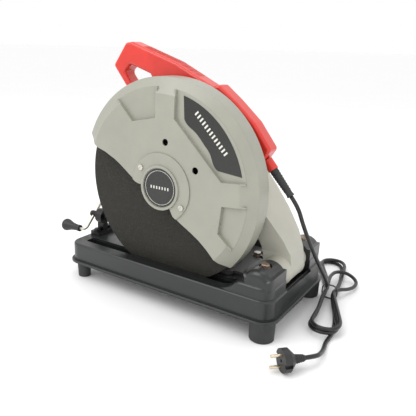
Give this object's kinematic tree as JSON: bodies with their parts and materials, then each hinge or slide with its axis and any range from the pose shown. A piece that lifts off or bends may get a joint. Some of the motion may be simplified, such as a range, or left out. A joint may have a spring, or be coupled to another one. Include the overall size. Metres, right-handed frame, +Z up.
{
  "type": "abrasive chop saw",
  "caption": "Bench-top abrasive chop saw with tilting guarded wheel head, D-handle, screw vise, swivel fence and bundled mains cord.",
  "frame": {"origin": "on the floor under the feet, at the middle of the saw's box without its mains cord", "axes": "+X from the vise crank at the front to the tilt pivot at the rear, +Y from the wheel side to the motor side, +Z up"},
  "size_m": [0.6066, 0.4486, 0.4668],
  "materials": {
    "tray_black": "satin black stove enamel over the pressed tray",
    "casting_cream": "warm cream-grey satin paint on castings",
    "guard_grey": "warm light grey satin paint on the pressed guard",
    "handle_red": "red satin moulded nylon",
    "trigger_red": "darker red moulded plastic",
    "abrasive": "resin-bonded abrasive, dark grey-brown grain",
    "label_black": "satin black adhesive film",
    "rubber_black": "black moulded rubber",
    "cord_black": "black rubber cable sheath",
    "plastic_black": "black moulded plastic",
    "fence_grey": "blue-grey paint on the fence casting",
    "zinc": "zinc-plated steel",
    "rusty_steel": "bare steel hardware with light rust",
    "steel": "turned steel",
    "black_steel": "black oxide steel",
    "copper": "copper",
    "core_steel": "laminated core steel",
    "carbon": "carbon",
    "nickel": "nickel-plated brass pins",
    "aluminium_grey": "cast aluminium"
  },
  "bodies": {
    "stand": {"base": "tray_black", "front_feet": "rubber_black", "rear_feet": "rubber_black", "foot_screws": "zinc", "pivot_shaft": "steel", "washers": "rusty_steel", "pivot_bolts": "rusty_steel", "return_spring": "steel", "fence_bolts": "black_steel", "plate_nuts": "zinc", "vise_bracket": "black_steel", "vise_nut": "black_steel", "bracket_bolts": "black_steel", "cord_hank": "cord_black", "cord_tail": "cord_black", "cord_tie": "plastic_black", "plug_body": "plastic_black", "plug_pins": "nickel", "cord_drop": "cord_black"},
    "head": {"arm": "casting_cream", "gear_cover": "casting_cream", "motor_housing": "casting_cream", "end_cap": "plastic_black", "brush_caps": "plastic_black", "carbon_brushes": "carbon", "stator": "core_steel", "field_coils": "copper", "wheel_guard": "guard_grey", "hub_cover": "guard_grey", "hub_label": "label_black", "guard_label": "label_black", "cover_screws": "zinc", "guard_bolts": "black_steel", "handle_near_shell": "handle_red", "handle_far_shell": "handle_red", "handle_screws": "black_steel", "trigger_pivot": "steel", "power_switch": "plastic_black", "strain_relief": "plastic_black", "armature_bearings": "steel", "spindle_bearings": "steel"},
    "wheel_spindle": {"spindle_gear": "steel", "spindle": "steel", "inner_flange": "steel", "outer_flange": "steel", "wheel_bolt": "zinc", "cutting_wheel": "abrasive"},
    "rotor": {"armature": "core_steel", "commutator": "copper", "cooling_fan": "plastic_black", "pinion": "steel"},
    "trigger": {"trigger": "trigger_red"},
    "lock_button": {"lock_button": "plastic_black"},
    "fence": {"fence": "fence_grey"},
    "vise_slide": {"vise_saddle": "black_steel", "jaw_pin": "steel"},
    "vise_screw": {"lead_screw": "black_steel", "crank": "zinc"},
    "knob": {"crank_knob": "plastic_black"},
    "jaw": {"vise_jaw": "fence_grey"}
  },
  "joints": [
    {"name": "head_tilt", "type": "hinge", "parent": "stand", "child": "head", "pos_m": [0.2255, 0, 0.093], "axis": [0, 1, 0], "range_deg": [0, 45], "deforming": ["cord_drop"]},
    {"name": "wheel_spin", "type": "hinge", "parent": "head", "child": "wheel_spindle", "pos_m": [0.0315, -0.0838, 0.225], "axis": [0, 1, 0], "continuous": true},
    {"name": "rotor_spin", "type": "hinge", "parent": "head", "child": "rotor", "pos_m": [0.0395, 0.0162, 0.274], "axis": [0, 1, 0], "continuous": true},
    {"name": "trigger_pull", "type": "hinge", "parent": "head", "child": "trigger", "pos_m": [-0.045, -0.0278, 0.4165], "axis": [0, 1, 0], "range_deg": [0, 8], "stiffness_Nm_per_rad": 0.6},
    {"name": "lock_button_push", "type": "slide", "parent": "head", "child": "lock_button", "axis": [0, -1, 0], "range_m": [0, 0.002], "stiffness_N_per_m": 400},
    {"name": "fence_swivel", "type": "hinge", "parent": "stand", "child": "fence", "pos_m": [0.1395, -0.0378, 0.078], "axis": [0, 0, 1], "range_deg": [0, 15]},
    {"name": "vise_travel", "type": "slide", "parent": "stand", "child": "vise_slide", "axis": [-1, 0, 0], "range_m": [0, 0.14]},
    {"name": "crank_turn", "type": "hinge", "parent": "vise_slide", "child": "vise_screw", "pos_m": [-0.1965, -0.0368, 0.112], "axis": [1, 0, 0], "range_deg": [0, 10080]},
    {"name": "knob_spin", "type": "hinge", "parent": "vise_screw", "child": "knob", "pos_m": [-0.2185, -0.06579, 0.08301], "axis": [1, 0, 0], "continuous": true},
    {"name": "jaw_swivel", "type": "hinge", "parent": "vise_slide", "child": "jaw", "pos_m": [0.0645, -0.0368, 0.112], "axis": [0, 0, 1], "range_deg": [-15, 15]}
  ],
  "couplings": [
    {"joint": "rotor_spin", "follows": "wheel_spin", "ratio": -4},
    {"joint": "vise_travel", "follows": "crank_turn", "m_per_rad": 0.00079577}
  ]
}
